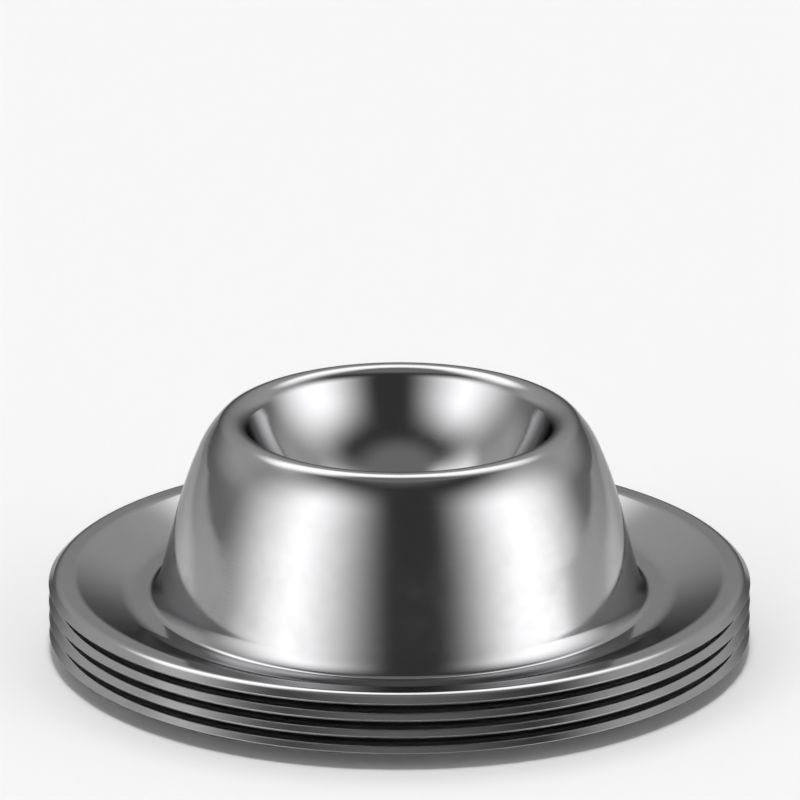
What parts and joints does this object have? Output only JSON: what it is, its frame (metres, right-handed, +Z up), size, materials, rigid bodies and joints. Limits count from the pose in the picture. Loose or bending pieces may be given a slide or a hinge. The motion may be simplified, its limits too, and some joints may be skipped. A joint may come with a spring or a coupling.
{
  "type": "egg cup",
  "caption": "Nested stack of round pressed steel egg cups, each with a dished saucer, a drafted wall, a rounded lip and a bowl.",
  "frame": {"origin": "on the axis of the stack, in the plane of the flat floor that the lowest cup rests on", "axes": "+Z up along the axis, towards the open bowl of the highest cup; every cup is round, so +X and +Y are alike"},
  "size_m": [0.085, 0.085, 0.0288],
  "materials": {
    "stainless_steel": "polished to a soft mirror"
  },
  "bodies": {
    "bottom_cup": {"bottom_cup": "stainless_steel"},
    "second_cup": {"second_cup": "stainless_steel"},
    "third_cup": {"third_cup": "stainless_steel"},
    "top_cup": {"top_cup": "stainless_steel"}
  },
  "joints": [
    {"name": "second_lift", "type": "slide", "parent": "bottom_cup", "child": "second_cup", "axis": [0, 0, 1], "range_m": [0, 0.03]},
    {"name": "third_lift", "type": "slide", "parent": "second_cup", "child": "third_cup", "axis": [0, 0, 1], "range_m": [0, 0.03]},
    {"name": "top_lift", "type": "slide", "parent": "third_cup", "child": "top_cup", "axis": [0, 0, 1], "range_m": [0, 0.03]}
  ]
}
